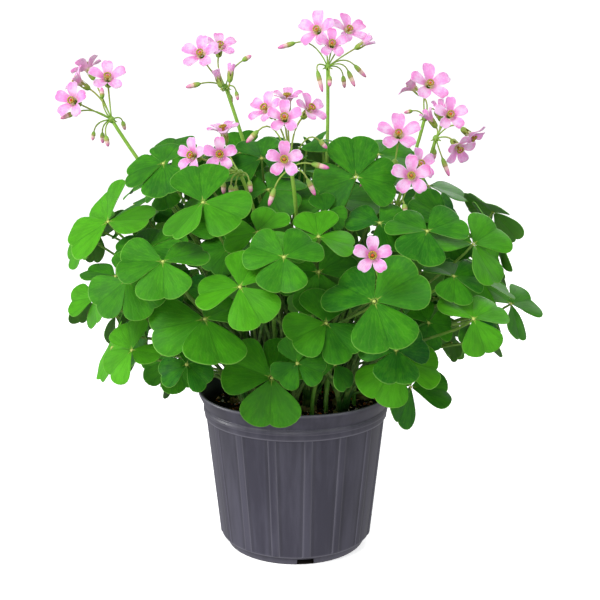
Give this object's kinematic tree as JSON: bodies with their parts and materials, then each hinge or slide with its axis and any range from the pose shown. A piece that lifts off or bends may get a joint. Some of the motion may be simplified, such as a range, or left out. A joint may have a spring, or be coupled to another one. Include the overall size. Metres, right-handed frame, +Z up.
{
  "type": "potted oxalis",
  "caption": "Pink-flowered wood sorrel in a round ribbed nursery pot: a dome of three-leaflet leaves on long stalks, with flower umbels standing above them.",
  "frame": {"origin": "middle of the pot's foot, on the surface that the pot stands on", "axes": "+Z up; the side shown in the picture faces -Y; +X is to the right as seen from there"},
  "size_m": [0.2636, 0.2511, 0.3027],
  "materials": {
    "pot_plastic": "matt grey moulded plastic with fine upright ribs",
    "soil": "damp dark potting mix with pale and orange-brown crumbs",
    "leaf": "soft matt green, paler veins and a darker midrib",
    "stalk": "smooth yellow-green, satin",
    "petal": "soft translucent pink, paler towards the throat"
  },
  "bodies": {
    "root": {"pot": "pot_plastic", "soil": "soil", "leaf_crown_01": "leaf", "leaf_crown_02": "leaf", "leaf_crown_03": "leaf", "leaf_crown_04": "leaf", "leaf_crown_05": "leaf", "leaf_crown_06": "leaf", "leaf_crown_07": "leaf", "leaf_crown_08": "leaf", "leaf_crown_09": "leaf", "leaf_crown_10": "leaf", "leaf_crown_11": "leaf", "leaf_crown_12": "leaf", "leaf_crown_13": "leaf", "leaf_crown_14": "leaf", "umbel_a": "stalk", "umbel_b": "stalk", "umbel_c": "stalk", "umbel_d": "stalk", "umbel_e": "stalk", "umbel_f": "stalk", "umbel_g": "stalk", "umbel_h": "stalk", "umbel_i": "stalk", "umbel_j": "stalk", "bloom_a1": "petal", "bloom_a2": "petal", "bloom_a3": "petal", "bloom_a4": "petal", "bloom_b1": "petal", "bloom_b2": "petal", "bloom_b3": "petal", "bloom_b4": "petal", "bloom_c1": "petal", "bloom_c2": "petal", "bloom_c3": "petal", "bloom_c4": "petal", "bloom_d1": "petal", "bloom_d2": "petal", "bloom_d3": "petal", "bloom_d4": "petal", "bloom_d5": "petal", "bloom_e1": "petal", "bloom_e2": "petal", "bloom_e3": "petal", "bloom_f1": "petal", "bloom_f2": "petal", "bloom_f3": "petal", "bloom_f4": "petal", "bloom_f5": "petal", "bloom_g1": "petal", "bloom_g2": "petal", "bloom_h1": "petal", "bloom_i1": "petal", "bloom_i2": "petal", "bloom_j1": "petal"}
  },
  "joints": []
}
